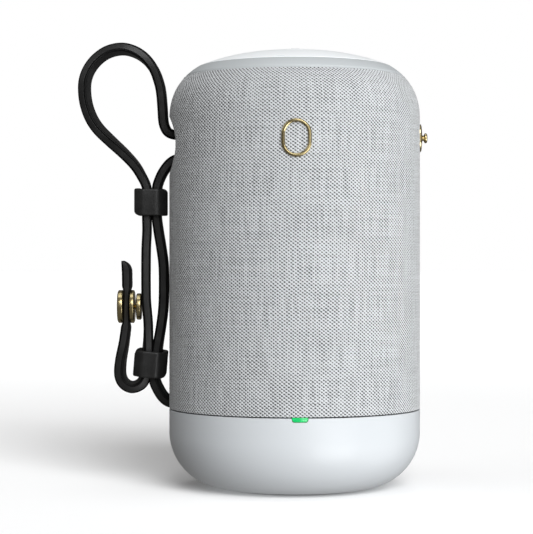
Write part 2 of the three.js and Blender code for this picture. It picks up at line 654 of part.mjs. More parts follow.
function keeper(slotOffset) {
  const shape = roundedOutline(KEEPER.width, KEEPER.depth, KEEPER.corner);
  const slot = new THREE.Path();
  const [halfWidth, halfDepth] = KEEPER.slotHalf;
  slot.moveTo(slotOffset - halfWidth, -halfDepth);
  slot.lineTo(slotOffset - halfWidth, halfDepth);
  slot.lineTo(slotOffset + halfWidth, halfDepth);
  slot.lineTo(slotOffset + halfWidth, -halfDepth);
  slot.closePath();
  shape.holes.push(slot);
  const height = KEEPER.height - 2 * KEEPER.edge;
  return new THREE.ExtrudeGeometry(shape, {
    depth: height, bevelThickness: KEEPER.edge, bevelSize: KEEPER.edge,
    bevelOffset: -KEEPER.edge, bevelSegments: 1, curveSegments: 3,
  }).translate(0, 0, -height / 2);
}

function snapDisc(radius, thickness, hole = 0) {
  const chamfer = 0.5;
  const rim = [
    [radius - chamfer, 0], [radius, chamfer], [radius, thickness - chamfer],
    [radius - chamfer, thickness],
  ];
  const profile = hole
    ? turnedRing([[hole, 0], ...rim, [hole, thickness]], INNER_SEGMENTS)
    : turned([[0, 0], ...rim, [0, thickness]], INNER_SEGMENTS);
  return profile.rotateY(Math.PI / 2);
}

function snapStud() {
  const post = rodAlongX(SNAP.postRadius, -1.9, 1, 0);
  return join(snapDisc(SNAP.studRadius, 1.8), post);
}

function strapClamp() {
  const body = block([-45.6, -38], [-4.5, 4.5], [31, CHASSIS_Z - GAP]);
  const pocket = block([-60, -44], [-2.6, 2.6], [31.6, 36.4]);
  return cut(body, pocket);
}

function buildStrap() {
  add('strap', pinchAtSnap(strapTube()), BLACK_LEATHER);
  add('strap_clamp', strapClamp(), STEEL);
  add('upper_keeper', keeper(0.3), BLACK_LEATHER).position.set(-57.4, 0, 114);
  const lower = add('lower_keeper', keeper(0.2), BLACK_LEATHER);
  lower.position.set(-57.55, 0, 49.6);
  lower.rotation.y = THREE.MathUtils.degToRad(6);
  const socketOuter = snapDisc(SNAP.radius, 1.9);
  const socketInner = snapDisc(SNAP.radius, 1.5, SNAP.postBore);
  add('snap_socket_outer', socketOuter, BRASS).position.set(-70.65, 0, SNAP.z);
  add('snap_socket_inner', socketInner, BRASS).position.set(-65.4, 0, SNAP.z);
  add('snap_stud', snapStud(), BRASS).position.set(-63.2, 0, SNAP.z);
}

buildBase();
buildElectronics();
buildLowerStack();
buildDriver();
buildUpperStack();
buildTop();
buildSkin();
buildTrim();
buildStrap();

export default speaker;
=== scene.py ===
"""The looks of a portable smart speaker: woven sleeve, plastic cup and cap, cord strap, brass trim.

Lengths are in millimetres up to the point where a mesh is made, and MM turns them into metres.
The frame is +Z up, +X to the object's right, -Y to its front, with the origin under the foot pad.
"""

import json
import math

import bmesh
import bpy
from mathutils import Matrix, Vector


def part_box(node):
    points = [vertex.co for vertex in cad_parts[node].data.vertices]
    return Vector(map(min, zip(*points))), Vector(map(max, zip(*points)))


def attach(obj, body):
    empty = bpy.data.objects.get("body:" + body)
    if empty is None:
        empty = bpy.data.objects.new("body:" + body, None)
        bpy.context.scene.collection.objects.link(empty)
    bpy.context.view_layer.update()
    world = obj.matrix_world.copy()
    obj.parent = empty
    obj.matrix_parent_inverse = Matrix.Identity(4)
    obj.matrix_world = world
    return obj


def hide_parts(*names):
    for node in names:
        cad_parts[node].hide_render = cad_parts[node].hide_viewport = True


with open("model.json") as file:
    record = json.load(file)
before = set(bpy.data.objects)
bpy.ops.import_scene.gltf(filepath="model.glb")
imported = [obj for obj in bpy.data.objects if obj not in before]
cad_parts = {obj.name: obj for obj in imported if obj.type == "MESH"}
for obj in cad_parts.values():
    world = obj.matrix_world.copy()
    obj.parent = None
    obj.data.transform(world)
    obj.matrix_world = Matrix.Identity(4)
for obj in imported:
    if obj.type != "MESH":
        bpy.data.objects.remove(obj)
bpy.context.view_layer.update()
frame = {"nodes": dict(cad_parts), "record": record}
MM = 0.001


# ---------------------------------------------------------------- sizes read from the frame
def cad_box(node):
    """A CAD node's lowest and highest corners, in millimetres."""
    low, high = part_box(node)
    return low / MM, high / MM


SLEEVE_LOW, SLEEVE_HIGH = cad_box("fabric_sleeve")
BASE_LOW, BASE_HIGH = cad_box("base_shell")
CAP_LOW, CAP_HIGH = cad_box("top_cap")
RING_LOW, RING_HIGH = cad_box("top_ring")
CUP_LOW, CUP_HIGH = cad_box("recess_cup")
BAR_LOW, BAR_HIGH = cad_box("strap_bar")

BODY_R = SLEEVE_HIGH.x
SLEEVE_BOTTOM = SLEEVE_LOW.z
RIM_Z = BASE_HIGH.z
FLOOR_Z = BASE_LOW.z
CROWN_Z = CAP_HIGH.z
SEAM_R = 38.05
CAP_R = SEAM_R - 0.2
CAP_EDGE_Z = CROWN_Z - 6.1
CAP_POWER = 2.5
CORNER_R = 22
SHOULDER_Z = 147
SHOULDER_CORE = 22
SHOULDER_RISE = 24.5
SHOULDER_POWER = 2.2
SLEEVE_TOP_R = 44
BUTTON_RING = 18
BUTTON_R = 5
BAR = Vector(((BAR_LOW.x + BAR_HIGH.x) / 2, 0, (BAR_LOW.z + BAR_HIGH.z) / 2))
RECESS_Z = (CUP_LOW.z + CUP_HIGH.z) / 2
RECESS_RZ = (CUP_HIGH.z - CUP_LOW.z) / 2 - 1.3
RECESS_RY = (CUP_HIGH.y - CUP_LOW.y) / 2 - 1.3
DISH_DEPTH = 3.6
DISH_SPAN = (0.84, 1.16)
HOLE_SHARE = 0.72
DOORWAY_HALF = 2.75
DOORWAY_TOP = 36.9
SHELL_WALL = 2.6
PORT_HALF = (6.5, 3.6)
LED_HALF = 3.05
LED_DROP = 1.5
BUTTON_LIFT = 0.05

# The strap's centre line as (x, z) at y = 0, from the clamp inside the body to the free tip.
LOOP_R = 4.9
LOOP_45 = LOOP_R * math.sqrt(0.5)
STRAP_ROUTE = [
    (-44.5, 33.9), (-49.8, 34.3), (-52.1, 35.8), (-54.4, 39.2), (-56.0, 43.6), (-54.8, 55.2),
    (-53.3, 64.6), (-52.4, 72.0), (-52.2, 82.8), (-52.4, 89.5), (-53.3, 96.1), (-54.4, 102.8),
    (-55.1, 108.5), (-54.9, 119.6), (-54.0, 122.8), (-52.2, 126.4), (-49.6, 129.6),
    (-47.4, 130.9),
    (BAR.x, BAR.z - LOOP_R), (BAR.x + LOOP_45, BAR.z - LOOP_45), (BAR.x + LOOP_R, BAR.z),
    (BAR.x + LOOP_45, BAR.z + LOOP_45), (BAR.x, BAR.z + LOOP_R),
    (-47.6, 140.8), (-50.5, 141.9), (-52.1, 144.8), (-52.8, 152.0), (-53.2, 156.8),
    (-53.9, 160.8), (-56.2, 167.0), (-59.8, 171.5), (-64.2, 174.2), (-69.0, 175.2),
    (-74.6, 174.0), (-79.0, 171.0), (-82.0, 167.2), (-83.6, 163.2), (-84.0, 159.2),
    (-83.3, 153.2), (-81.2, 147.4), (-78.4, 143.2), (-73.8, 138.6), (-67.8, 133.0),
    (-63.8, 128.6), (-61.4, 124.8), (-59.1, 119.6), (-59.1, 108.5), (-59.0, 102.8),
    (-59.3, 96.1), (-59.4, 89.6), (-59.3, 74.8), (-58.9, 70.0), (-58.5, 64.6), (-58.7, 55.2),
    (-59.9, 43.6), (-61.8, 41.0), (-65.2, 40.0), (-68.2, 41.6), (-69.6, 44.6), (-69.5, 50.1),
    (-68.2, 57.4), (-67.2, 65.4), (-67.0, 72.4), (-66.9, 82.8), (-67.0, 86.8), (-67.2, 90.6),
]
STRAP_THICKNESS = 3.9
STRAP_WIDTH = 4.6


# ---------------------------------------------------------------- camera
CAMERA_LENS = 121.3
CAMERA_AT = (-0.0112, -0.720, 0.088)


def make_camera():
    """A viewpoint level with the object's middle and a little left of its axis."""
    data = bpy.data.cameras.new("view")
    data.sensor_width = 36
    data.lens = CAMERA_LENS
    data.clip_end = 100
    camera = bpy.data.objects.new("view", data)
    camera.location = CAMERA_AT
    camera.rotation_euler = (math.radians(90), 0, 0)
    bpy.context.scene.collection.objects.link(camera)
    bpy.context.scene.camera = camera


# ---------------------------------------------------------------- mesh helpers
def new_object(name, verts, faces, smooth_angle=35):
    """A mesh object from points in millimetres, with its faces turned outwards."""
    mesh = bpy.data.meshes.new(name)
    mesh.from_pydata([Vector(v) * MM for v in verts], [], faces)
    obj = bpy.data.objects.new(name, mesh)
    bpy.context.scene.collection.objects.link(obj)
    face_outwards(mesh)
    shade(mesh, smooth_angle)
    return obj


def face_outwards(mesh):
    work = bmesh.new()
    work.from_mesh(mesh)
    bmesh.ops.recalc_face_normals(work, faces=work.faces)
    work.to_mesh(mesh)
    work.free()


def shade(mesh, angle):
    mesh.shade_smooth()
    mesh.set_sharp_from_angle(angle=math.radians(angle))


def apply_modifiers(obj, smooth_angle=35):
    """Bakes an object's modifiers into its mesh."""
    graph = bpy.context.evaluated_depsgraph_get()
    mesh = bpy.data.meshes.new_from_object(obj.evaluated_get(graph))
    obj.modifiers.clear()
    obj.data = mesh
    shade(mesh, smooth_angle)
    return obj


def cut(obj, *cutters, smooth_angle=35):
    """Cuts away each cutter from obj and removes the cutters."""
    for cutter in cutters:
        boolean = obj.modifiers.new("cut", "BOOLEAN")
        boolean.operation = "DIFFERENCE"
        boolean.solver = "EXACT"
        boolean.object = cutter
    apply_modifiers(obj, smooth_angle)
    for cutter in cutters:
        bpy.data.objects.remove(cutter)
    return obj


def arc(cx, cy, radius, start, end, steps):
    """Points on a circle, by degrees."""
    angles = [math.radians(start + (end - start) * i / steps) for i in range(steps + 1)]
    return [(cx + radius * math.cos(a), cy + radius * math.sin(a)) for a in angles]


def rounded(corners, closed=False, steps=5):
    """A polyline whose corners (x, y, radius) are rounded; a radius of 0 keeps a corner sharp."""
    points = []
    count = len(corners)
    for i, (x, y, radius) in enumerate(corners):
        at_end = not closed and i in (0, count - 1)
        if radius == 0 or at_end:
            points.append((x, y))
            continue
        here = Vector((x, y))
        before = Vector(corners[i - 1][:2]) - here
        after = Vector(corners[(i + 1) % count][:2]) - here
        half = before.angle(after) / 2
        reach = radius / math.tan(half)
        start = here + before.normalized() * reach
        end = here + after.normalized() * reach
        for k in range(steps + 1):
            t = k / steps
            point = start * (1 - t) ** 2 + here * 2 * t * (1 - t) + end * t ** 2
            points.append(tuple(point))
    return points


def rounded_box(half_w, half_h, radius, centre=0.0):
    """A closed rectangle with rounded corners, about a centre on its second axis."""
    return rounded([(-half_w, centre - half_h, radius), (half_w, centre - half_h, radius),
                    (half_w, centre + half_h, radius), (-half_w, centre + half_h, radius)],
                   closed=True)


def lathe(name, profile, segments=160, closed=False, smooth_angle=35):
    """Turns a profile of (radius, z) round the Z axis."""
    verts, rings = [], []
    for radius, z in profile:
        if radius < 1e-6:
            rings.append([len(verts)] * segments)
            verts.append((0, 0, z))
            continue
        rings.append(range(len(verts), len(verts) + segments))
        for k in range(segments):
            angle = 2 * math.pi * k / segments
            verts.append((radius * math.cos(angle), radius * math.sin(angle), z))
    faces = []
    last = len(rings) if closed else len(rings) - 1
    for i in range(last):
        lower, upper = rings[i], rings[(i + 1) % len(rings)]
        for k in range(segments):
            n = (k + 1) % segments
            corners = [lower[k], lower[n], upper[n], upper[k]]
            face = list(dict.fromkeys(corners))
            if len(face) > 2:
                faces.append(face)
    return new_object(name, verts, faces, smooth_angle)


def sweep(name, rings, closed=False, smooth_angle=35):
    """Skins a row of rings, each a list of the same number of points."""
    size = len(rings[0])
    verts = [point for ring in rings for point in ring]
    faces = []
    last = len(rings) if closed else len(rings) - 1
    for i in range(last):
        a, b = i * size, ((i + 1) % len(rings)) * size
        for k in range(size):
            n = (k + 1) % size
            faces.append([a + k, a + n, b + n, b + k])
    if not closed:
        faces.append(list(range(size))[::-1])
        faces.append(list(range(len(verts) - size, len(verts))))
    return new_object(name, verts, faces, smooth_angle)


def place(obj, matrix):
    """Moves a mesh's own points, so that its object stays at the origin."""
    obj.data.transform(matrix)
    return obj


def along_x(at):
    """Turns a piece made round Z to lie along +X, at a place in millimetres."""
    return Matrix.Translation(Vector(at) * MM) @ Matrix.Rotation(math.radians(90), 4, "Y")


def prism_y(name, outline, y_front, y_back):
    """An outline in X and Z pushed from one Y to another."""
    rings = [[(x, y, z) for x, z in outline] for y in (y_front, y_back)]
    return sweep(name, rings)


def rod(name, radius, start, end, segments=48, edge=0.2):
    """A round bar with rounded ends between two points."""
    start, end = Vector(start), Vector(end)
    length = (end - start).length
    profile = rounded([(0, 0, 0), (radius, 0, edge), (radius, length, edge), (0, length, 0)])
    bar = lathe(name, profile, segments)
    turn = (end - start).to_track_quat("Z", "Y").to_matrix().to_4x4()
    return place(bar, Matrix.Translation(start * MM) @ turn)


def stadium(width, height, steps=20):
    """An upright oval with round ends, counter-clockwise."""
    radius = width / 2
    straight = (height - width) / 2
    return arc(0, straight, radius, 0, 180, steps) + arc(0, -straight, radius, 180, 360, steps)


def catmull_rom(points, count):
    """A centripetal Catmull-Rom curve through points, sampled at even steps of its length."""
    points = [Vector(p) for p in points]
    points = [points[0] * 2 - points[1], *points, points[-1] * 2 - points[-2]]
    dense = []
    for i in range(1, len(points) - 2):
        p0, p1, p2, p3 = points[i - 1:i + 3]
        t1 = (p1 - p0).length ** 0.5
        t2 = t1 + (p2 - p1).length ** 0.5
        t3 = t2 + (p3 - p2).length ** 0.5
        for k in range(24):
            t = t1 + (t2 - t1) * k / 24
            a1 = p0 * ((t1 - t) / t1) + p1 * (t / t1)
            a2 = p1 * ((t2 - t) / (t2 - t1)) + p2 * ((t - t1) / (t2 - t1))
            a3 = p2 * ((t3 - t) / (t3 - t2)) + p3 * ((t - t2) / (t3 - t2))
            b1 = a1 * ((t2 - t) / t2) + a2 * (t / t2)
            b2 = a2 * ((t3 - t) / (t3 - t1)) + a3 * ((t - t1) / (t3 - t1))
            dense.append(b1 * ((t2 - t) / (t2 - t1)) + b2 * ((t - t1) / (t2 - t1)))
    dense.append(points[-2])
    lengths = [0]
    for a, b in zip(dense, dense[1:]):
        lengths.append(lengths[-1] + (b - a).length)
    even, at = [], 0
    for k in range(count):
        wanted = lengths[-1] * k / (count - 1)
        while at < len(dense) - 2 and lengths[at + 1] < wanted:
            at += 1
        share = (wanted - lengths[at]) / (lengths[at + 1] - lengths[at])
        even.append(dense[at].lerp(dense[at + 1], share))
    return even, lengths[-1]


def smoothstep(low, high, value):
    t = min(1, max(0, (value - low) / (high - low)))
    return t * t * (3 - 2 * t)


# ---------------------------------------------------------------- materials
class Shader:
    """A material's node tree with short calls for the nodes used here."""

    def __init__(self, name, color, roughness, metallic=0.0):
        self.material = bpy.data.materials.new(name)
        self.material.use_nodes = True
        self.tree = self.material.node_tree
        self.surface = self.tree.nodes["Principled BSDF"]
        self.set("Base Color", (*color, 1))
        self.set("Roughness", roughness)
        self.set("Metallic", metallic)
        self.coords = self.node("ShaderNodeTexCoord").outputs["Object"]

    def node(self, kind, **settings):
        node = self.tree.nodes.new(kind)
        for name, value in settings.items():
            setattr(node, name, value)
        return node

    def set(self, name, value):
        self.surface.inputs[name].default_value = value

    def link(self, output, name):
        self.tree.links.new(output, self.surface.inputs[name])

    def feed(self, node, index, value):
        if isinstance(value, bpy.types.NodeSocket):
            self.tree.links.new(value, node.inputs[index])
        elif value is not None:
            node.inputs[index].default_value = value

    def math(self, operation, a, b=None, c=None):
        node = self.node("ShaderNodeMath", operation=operation)
        for index, value in enumerate((a, b, c)):
            self.feed(node, index, value)
        return node.outputs[0]

    def noise(self, scale, detail, vector=None):
        node = self.node("ShaderNodeTexNoise")
        self.feed(node, "Vector", vector or self.coords)
        node.inputs["Scale"].default_value = scale
        node.inputs["Detail"].default_value = detail
        return node.outputs["Fac"]

    def combine(self, x, y, z=0.0):
        node = self.node("ShaderNodeCombineXYZ")
        for index, value in enumerate((x, y, z)):
            self.feed(node, index, value)
        return node.outputs[0]

    def remap(self, value, from_low, from_high, to_low, to_high, smooth=False):
        node = self.node("ShaderNodeMapRange")
        node.interpolation_type = "SMOOTHSTEP" if smooth else "LINEAR"
        for index, number in enumerate((value, from_low, from_high, to_low, to_high)):
            self.feed(node, index, number)
        return node.outputs[0]

    def mix(self, share, color_a, color_b):
        node = self.node("ShaderNodeMix", data_type="RGBA")
        self.feed(node, 0, share)
        for index, color in ((6, color_a), (7, color_b)):
            self.feed(node, index, (*color, 1) if isinstance(color, tuple) else color)
        return node.outputs[2]

    def bump(self, height, distance, strength=1.0):
        node = self.node("ShaderNodeBump")
        node.inputs["Strength"].default_value = strength
        node.inputs["Distance"].default_value = distance * MM
        self.feed(node, "Height", height)
        self.link(node.outputs[0], "Normal")


def per_mm(features):
    """A noise scale with that many features per millimetre."""
    return features / MM


def plastic(name, color, roughness, painted_glow=0.0):
    """Moulded plastic: a very fine spark-eroded texture and slightly uneven gloss. An emission
    above zero is painted light: a faint glow that brightens the plastic, though it is no lamp.
    """
    shader = Shader(name, color, roughness)
    # Any emission strength above zero here is painted light: the plastic shines by itself, though
    # it is no lamp.
    shader.set("Emission Color", (0.96, 0.99, 1.0, 1))
    shader.set("Emission Strength", painted_glow)
    fine = shader.noise(per_mm(2.5), 2)
    cloud = shader.noise(per_mm(0.03), 2)
    shader.link(shader.remap(cloud, 0.3, 0.7, roughness - 0.04, roughness + 0.04), "Roughness")
    warm = tuple(c * 0.985 for c in color)
    shader.link(shader.mix(shader.remap(cloud, 0.3, 0.7, 0, 1), color, warm), "Base Color")
    shader.bump(fine, 0.012)
    return shader.material


WARP_COUNT = 380
WEFT_PITCH = 0.655


def woven_fabric():
    """A plain weave of light yarns over dark ones, with each yarn a little different."""
    light, dark = (0.66, 0.682, 0.70), (0.058, 0.058, 0.059)
    shader = Shader("woven_fabric", light, 0.9)
    split = shader.node("ShaderNodeSeparateXYZ")
    shader.feed(split, 0, shader.coords)
    angle = shader.math("ARCTAN2", split.outputs[1], split.outputs[0])
    along = shader.node("ShaderNodeAttribute", attribute_name="along").outputs["Fac"]
    sway = shader.remap(shader.noise(per_mm(0.09), 1), 0, 1, -0.55, 0.55)
    sag = shader.remap(shader.noise(per_mm(0.12), 1), 0, 1, -0.5, 0.5)
    warp = shader.math("ADD", shader.math("MULTIPLY", angle, WARP_COUNT / (2 * math.pi)), sway)
    weft = shader.math("ADD", shader.math("MULTIPLY", along, 1 / WEFT_PITCH), sag)
    rising = shader.math("MULTIPLY", shader.math("SUBTRACT", warp, weft), math.pi)
    falling = shader.math("MULTIPLY", shader.math("ADD", warp, weft), math.pi)
    over = shader.math("SUBTRACT", shader.math("MULTIPLY", shader.math("COSINE", rising), 0.42),
                       shader.math("MULTIPLY", shader.math("COSINE", falling), 0.58))
    warp_tone = shader.noise(1.0, 1, shader.combine(warp, shader.math("MULTIPLY", weft, 0.04)))
    weft_tone = shader.noise(1.0, 1, shader.combine(shader.math("MULTIPLY", warp, 0.03), weft, 7.0))
    fibre = shader.noise(per_mm(3.5), 3)
    lean = shader.math("ADD", over, shader.remap(fibre, 0.25, 0.75, -0.22, 0.22))
    lean = shader.math("ADD", lean, shader.remap(warp_tone, 0.3, 0.7, -0.16, 0.16))
    lean = shader.math("ADD", lean, shader.remap(weft_tone, 0.3, 0.7, -0.12, 0.12))
    share = shader.remap(lean, -0.78, 0.28, 0, 1, smooth=True)
    shader.link(shader.mix(share, dark, light), "Base Color")
    height = shader.math("ADD", shader.math("ABSOLUTE", over), shader.math("MULTIPLY", over, 0.5))
    height = shader.math("ADD", height, shader.math("MULTIPLY", fibre, 0.35))
    shader.bump(height, 0.16, 0.7)
    shader.set("Sheen Weight", 0.25)
    shader.set("Sheen Roughness", 0.5)
    shader.set("Specular IOR Level", 0.2)
    return shader.material


def black_leather():
    """Black coated leather with a fine pebbled grain and rubbed spots, and painted shade along its
    edges, which are darker and less glossy.
    """
    base = 0.012
    shader = Shader("black_leather", (base, base, base), 0.4)
    cells = shader.node("ShaderNodeTexVoronoi", feature="SMOOTH_F1")
    shader.feed(cells, "Vector", shader.coords)
    cells.inputs["Scale"].default_value = per_mm(1.6)
    fine = shader.noise(per_mm(4), 3)
    rub = shader.noise(per_mm(0.25), 3)
    worn = (base * 1.5, base * 1.5, base * 1.5)
    face = shader.mix(shader.remap(rub, 0.45, 0.75, 0, 1), (base, base, base), worn)
    # Painted shade: along the strap's grooved, beaded edges the leather is darker and reflects
    # less.
    edge = shader.node("ShaderNodeAttribute", attribute_name="painted_edge_shade").outputs["Fac"]
    shader.link(shader.mix(edge, face, (0.002, 0.002, 0.002)), "Base Color")
    shader.link(shader.remap(edge, 0, 1, 0.32, 0.10), "Specular IOR Level")
    shader.link(shader.remap(rub, 0.3, 0.7, 0.34, 0.44), "Roughness")
    grain = shader.math("ADD", shader.math("MULTIPLY", cells.outputs["Distance"], 0.8),
                        shader.math("MULTIPLY", fine, 0.4))
    shader.bump(grain, 0.05, 0.5)
    return shader.material


def polished_metal(name, color, roughness):
    """Metal with fine rubbed marks and a slightly uneven tone."""
    shader = Shader(name, color, roughness, 1.0)
    grain = 0.05
    tone = shader.noise(per_mm(0.5), 3)
    shader.link(shader.remap(tone, 0.3, 0.7, roughness - grain, roughness + grain), "Roughness")
    deep = tuple(c * 0.82 for c in color)
    shader.link(shader.mix(shader.remap(tone, 0.35, 0.75, 0, 1), color, deep), "Base Color")
    shader.bump(shader.noise(per_mm(6), 2), 0.008)
    return shader.material


def glowing_lens():
    """A translucent green lens lit from behind, its glow a little uneven."""
    shader = Shader("green_lens", (0.005, 0.36, 0.10), 0.25)
    cloud = shader.noise(per_mm(0.6), 1)
    shader.link(shader.mix(shader.remap(cloud, 0.35, 0.65, 0, 1), (0.0, 0.50, 0.10),
                           (0.02, 0.72, 0.18)), "Emission Color")
    shader.set("Emission Strength", 0.5)
    shader.set("Coat Weight", 0.4)
    shader.bump(shader.noise(per_mm(1.5), 1), 0.01)
    return shader.material


def rubber(name, base=0.02, roughness=0.8):
    """Matt black rubber with a dusty, slightly uneven surface."""
    shader = Shader(name, (base, base, base), roughness)
    dust = shader.noise(per_mm(0.4), 4)
    shader.link(shader.mix(shader.remap(dust, 0.4, 0.8, 0, 1), (base, base, base),
                           (base * 2, base * 2, base * 2)), "Base Color")
    shader.bump(shader.noise(per_mm(3), 3), 0.02)
    return shader.material


def circuit_board():
    """Green solder mask with fine tracks under it."""
    shader = Shader("circuit_board", (0.015, 0.12, 0.05), 0.3)
    tracks = shader.node("ShaderNodeTexBrick", offset=0.5)
    shader.feed(tracks, "Vector", shader.coords)
    tracks.inputs["Scale"].default_value = per_mm(0.12)
    tracks.inputs["Mortar Size"].default_value = 0.06
    shader.link(shader.mix(tracks.outputs["Fac"], (0.015, 0.12, 0.05), (0.04, 0.22, 0.10)),
                "Base Color")
    shader.bump(tracks.outputs["Fac"], 0.03)
    return shader.material


MATERIALS = {
    "white_plastic": plastic("white_plastic", (0.62, 0.65, 0.675), 0.35),
    # The cap and its buttons get a faint glow: painted light that brightens them, though they are
    # no lamp.
    "cap_plastic": plastic("cap_plastic", (0.93, 0.96, 0.98), 0.3, painted_glow=0.16),
    "grey_fabric": woven_fabric(),
    "dark_plastic": plastic("dark_plastic", (0.03, 0.03, 0.033), 0.5),
    "black_leather": black_leather(),
    "black_rubber": rubber("black_rubber"),
    "brass_metal": polished_metal("brass_metal", (0.52, 0.43, 0.23), 0.2),
    "steel_metal": polished_metal("steel_metal", (0.56, 0.57, 0.58), 0.34),
    "ferrite": polished_metal("ferrite", (0.05, 0.05, 0.055), 0.6),
    "circuit_board": circuit_board(),
    "cell_wrap": plastic("cell_wrap", (0.05, 0.15, 0.42), 0.3),
    "cone_paper": rubber("cone_paper", 0.035, 0.9),
    "coil_copper": polished_metal("coil_copper", (0.72, 0.34, 0.17), 0.35),
    "green_lens": glowing_lens(),
    "ribbon_film": plastic("ribbon_film", (0.68, 0.58, 0.33), 0.4),
}
ICON_INK = plastic("icon_ink", (0.32, 0.34, 0.36), 0.5)
# The shoulder ring's plastic is a darker, greyer copy of the white plastic: painted shade on the
# ring around the cap.
SHADED_RING_PLASTIC = plastic("shaded_ring_plastic", (0.53, 0.56, 0.575), 0.45)


def finish_piece(obj, slot, body="housing", replaces=(), material=None):
    """Gives a piece its material, its slot and the body it rides on."""
    obj.data.materials.clear()
    obj.data.materials.append(material or MATERIALS[slot])
    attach(obj, body)
    if replaces:
        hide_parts(*replaces)
    return obj


# ---------------------------------------------------------------- strap
def strap_frames(count):
    """Points along the strap with the direction across it in its plane, and its length."""
    line, length = catmull_rom([(x, 0, z) for x, z in STRAP_ROUTE], count)
    frames = []
    for i, point in enumerate(line):
        step = line[min(i + 1, count - 1)] - line[max(i - 1, 0)]
        frames.append((point, step.normalized().cross(Vector((0, 1, 0)))))
    return frames, length


def strap_twist(share):
    """How far the strap turns about its own line, in radians, by its share of the length."""
    exit_turn = 1 - smoothstep(0.03, 0.10, share)
    hand_loop = smoothstep(0.40, 0.48, share) * (1 - smoothstep(0.55, 0.66, share))
    low_turn = smoothstep(0.79, 0.83, share) * (1 - smoothstep(0.87, 0.93, share))
    return math.radians(16 * exit_turn - 36 * hand_loop + 18 * low_turn + 4)


def strap_section():
    """The strap's cross-section: a beaded edge at each corner, with a groove beside it."""
    half_t, half_w = STRAP_THICKNESS / 2, STRAP_WIDTH / 2
    corner = [
        (half_t - 1.6, half_w), (half_t - 0.92, half_w - 0.02), (half_t - 0.76, half_w - 0.30),
        (half_t - 0.60, half_w - 0.08), (half_t - 0.37, half_w - 0.11),
        (half_t - 0.15, half_w - 0.29), (half_t - 0.03, half_w - 0.55), (half_t, half_w - 1.0),
    ]
    right = corner + [(t, -w) for t, w in reversed(corner)]
    return right + [(-t, -w) for t, w in right]


def end_rounding(left, reach, least):
    """The share of its full size that the strap has at a distance from its tip."""
    return math.sqrt(max(least, 1 - (1 - min(1, left / reach)) ** 2))


def make_strap():
    """The strap: its section swept along the route, squeezed by the snap and rounded at its tip."""
    count = 700
    frames, length = strap_frames(count)
    section = strap_section()
    pinch_reach, pinch, free_end = 6.6, 0.3, 0.9
    rings = []
    for i, (point, across) in enumerate(frames):
        share = i / (count - 1)
        twist = strap_twist(share)
        left = length * (1 - share)
        tip = end_rounding(left, 1.6, 0.02)
        taper = end_rounding(left, 4.4, 0.06)
        squeeze = 1.0
        if share > free_end:
            nearness = 1 - smoothstep(pinch_reach - 1, pinch_reach + 2, abs(point.z - SNAP_Z))
            squeeze = 1 - pinch * nearness
        ring = []
        for t, w in section:
            t = STRAP_THICKNESS / 2 - (STRAP_THICKNESS / 2 - t) * taper
            a = (t * math.cos(twist) - w * math.sin(twist)) * squeeze
            b = (t * math.sin(twist) + w * math.cos(twist)) * tip
            ring.append(point + across * a + Vector((0, b, 0)))
        rings.append(ring)
    strap = sweep("strap_cord", rings, smooth_angle=45)
    # Painted shade: the groove, bead and rounded corner at each corner of the section are marked
    # darker and less glossy.
    corner = [0.0, 0.0, 1.0, 1.0, 1.0, 1.0, 0.8, 0.1]
    dark = (corner + corner[::-1]) * 2
    store = strap.data.attributes.new("painted_edge_shade", "FLOAT", "POINT")
    store.data.foreach_set("value", dark * count)
    finish_piece(strap, "black_leather", replaces=["strap"])
    path = [point * MM for point, _ in frames]
    return strap, path, length * MM


# ---------------------------------------------------------------- keepers and snap
KEEPER_OUTLINE = [
    (-6.65, -2.0, 1.4), (-3.7, -4.8, 2.2), (3.2, -4.8, 3.6), (6.65, -1.6, 1.4),
    (6.65, 2.2, 1.3), (3.3, 4.8, 2.0), (-3.3, 4.8, 2.0), (-6.65, 2.2, 1.3),
]
KEEPER_HALF = 5.5
KEEPER_SIDE = 6.65
WORN_REACH = 1.9
WORN_DROP = 1.4


def resample(points, count):
    """Points at even steps round a closed outline, starting at its first point."""
    ring = [Vector(p) for p in points] + [Vector(points[0])]
    lengths = [0]
    for a, b in zip(ring, ring[1:]):
        lengths.append(lengths[-1] + (b - a).length)
    even, at = [], 0
    for k in range(count):
        wanted = lengths[-1] * k / count
        while lengths[at + 1] < wanted:
            at += 1
        share = (wanted - lengths[at]) / max(1e-9, lengths[at + 1] - lengths[at])
        even.append(ring[at].lerp(ring[at + 1], share))
    return even


